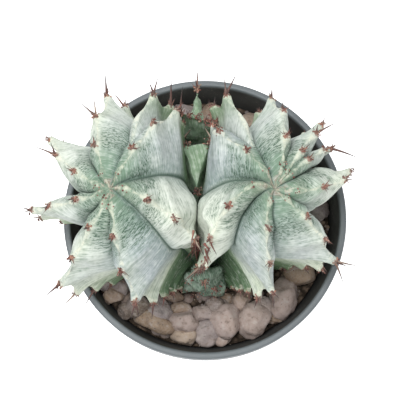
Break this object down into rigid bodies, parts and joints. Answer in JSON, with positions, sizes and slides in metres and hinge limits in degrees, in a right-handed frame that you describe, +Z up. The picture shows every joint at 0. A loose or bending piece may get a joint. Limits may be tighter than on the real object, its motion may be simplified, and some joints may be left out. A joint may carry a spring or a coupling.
{
  "type": "potted african milk barrel",
  "caption": "Ribbed, thorned succulent with a forked stem, standing in gravel and soil in a round tapered nursery pot; an ornamental houseplant.",
  "frame": {"origin": "centre of the pot's underside, on the plane that its foot ring and middle pad rest on", "axes": "+Z up, -Y towards the front that the picture shows, +X to the right seen from the front"},
  "size_m": [0.1185, 0.108, 0.1499],
  "materials": {
    "pot": "slate grey moulded plastic, smooth satin",
    "soil": "loose dark potting mix, fully matt",
    "gravel": "dry mixed pebbles, pinkish beige to grey",
    "plant": "waxy grey-green skin with a pale bloom and brown thorns"
  },
  "bodies": {
    "root": {"pot": "pot", "soil": "soil", "gravel": "gravel", "plant": "plant"}
  },
  "joints": []
}
